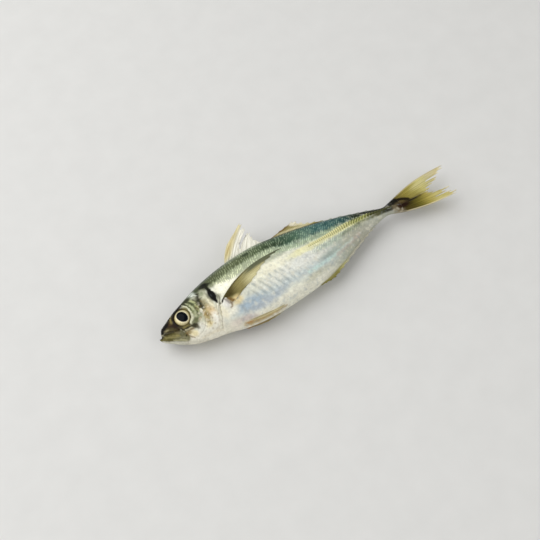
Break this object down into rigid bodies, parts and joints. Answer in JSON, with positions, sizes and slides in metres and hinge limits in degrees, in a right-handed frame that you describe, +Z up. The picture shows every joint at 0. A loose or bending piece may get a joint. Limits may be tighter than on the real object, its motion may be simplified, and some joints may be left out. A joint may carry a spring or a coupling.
{
  "type": "whole raw fish",
  "caption": "Whole raw scad with silver flanks and a green back, lying on its right side with its dorsal fin up, for tables, shops and kitchens.",
  "frame": {"origin": "on the surface the fish lies on, under the middle of its box", "axes": "+X from head to tail, +Y from belly to back, +Z up, out of the left flank"},
  "size_m": [0.232, 0.0694, 0.0264],
  "materials": {
    "skin": "wet silver-cream scaled skin, green to blue along the back, with a yellow row of keeled plates towards the tail",
    "fin": "thin wet rayed fins, cream on the first dorsal fin and olive yellow on the others",
    "eye": "clear wet eyeball with a pale gold iris and a blue-black pupil"
  },
  "bodies": {
    "root": {"fish": "skin", "eye_left": "eye", "eye_right": "eye"}
  },
  "joints": []
}
